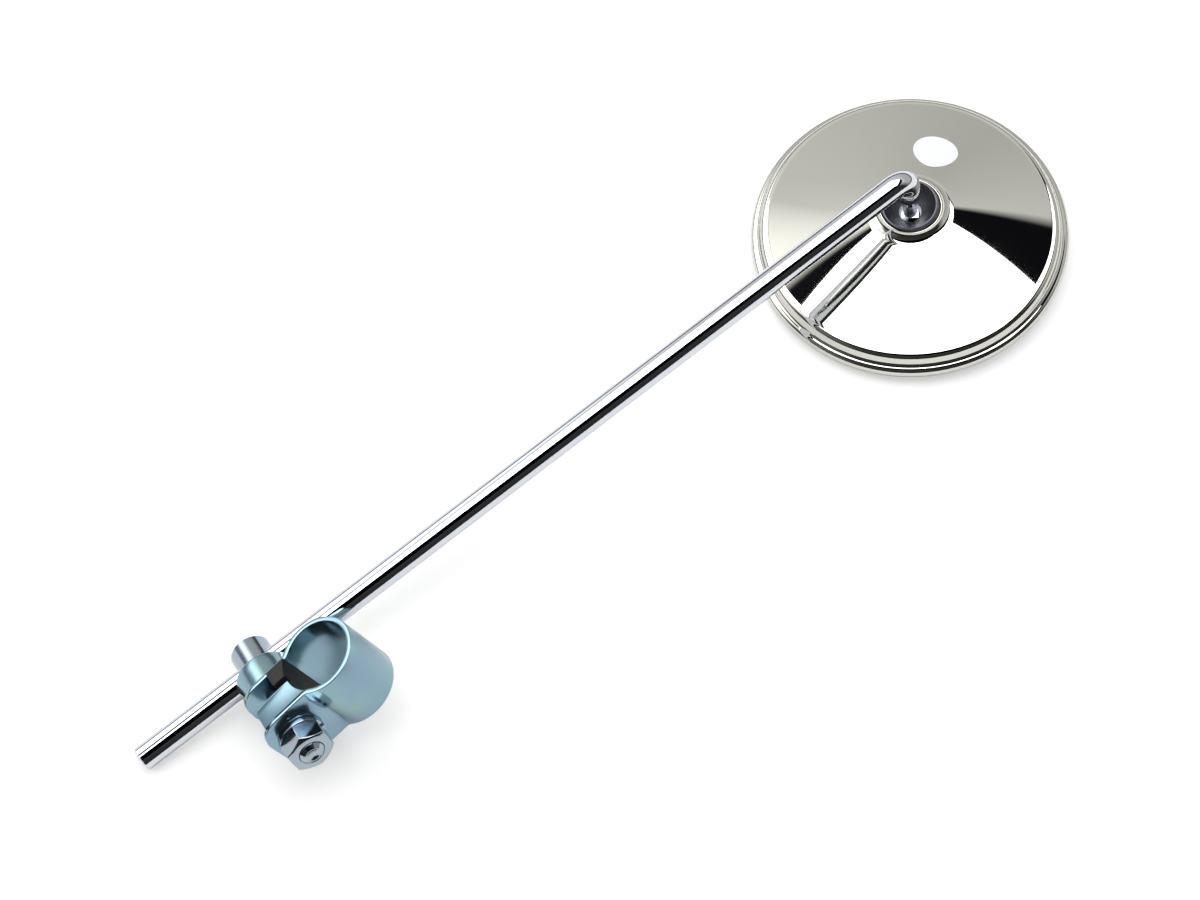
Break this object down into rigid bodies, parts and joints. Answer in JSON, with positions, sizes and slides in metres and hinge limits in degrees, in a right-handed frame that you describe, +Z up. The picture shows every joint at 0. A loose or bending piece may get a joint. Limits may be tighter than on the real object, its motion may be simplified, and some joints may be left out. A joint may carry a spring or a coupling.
{
  "type": "motorcycle mirror",
  "caption": "Round motorcycle mirror: a polished conical back on a ball joint, a bent chromed arm and an eye-bolt strap clamp for the handlebar.",
  "frame": {"origin": "middle of the handlebar bore of the clamp strap", "axes": "+X along the handlebar, +Y along the eye bolt towards its nut, +Z up the arm"},
  "size_m": [0.1095, 0.1047, 0.3405],
  "materials": {
    "blue_zinc": "blue passivated zinc",
    "bolt_zinc": "bright zinc",
    "chromed_steel": "bright chrome",
    "dark_ball": "satin",
    "polished_stainless": "polished",
    "gasket_rubber": "matte",
    "silvered_glass": "mirror",
    "pad_foam": "matte",
    "inner_steel": "plain"
  },
  "bodies": {
    "clamp": {"clamp_strap": "blue_zinc"},
    "bolt_set": {"eye_bolt": "bolt_zinc", "rod_cup": "blue_zinc", "spring_washer": "bolt_zinc", "hex_nut": "bolt_zinc"},
    "arm": {"mirror_arm": "chromed_steel"},
    "ball": {"pivot_ball": "dark_ball"},
    "head": {"back_shell": "polished_stainless", "glass_gasket": "gasket_rubber", "mirror_glass": "silvered_glass", "backing_pad": "pad_foam", "ball_seat": "inner_steel", "disc_spring": "inner_steel", "spring_bridge": "inner_steel"}
  },
  "joints": [
    {"name": "arm_swivel", "type": "hinge", "parent": "clamp", "child": "bolt_set", "pos_m": [0, 0, -0.02], "axis": [0, 1, 0], "continuous": true},
    {"name": "arm_slide", "type": "slide", "parent": "bolt_set", "child": "arm", "axis": [-0.1513, 0, 0.9885], "range_m": [-0.15, 0.03]},
    {"name": "head_turn", "type": "hinge", "parent": "arm", "child": "ball", "pos_m": [-0.06003, -0.03135, 0.22777], "axis": [0.9235, 0.3567, 0.1413], "continuous": true},
    {"name": "head_tilt", "type": "hinge", "parent": "ball", "child": "head", "pos_m": [-0.06003, -0.03135, 0.22777], "axis": [-0.3526, 0.9342, -0.054], "range_deg": [-20, 20]}
  ]
}
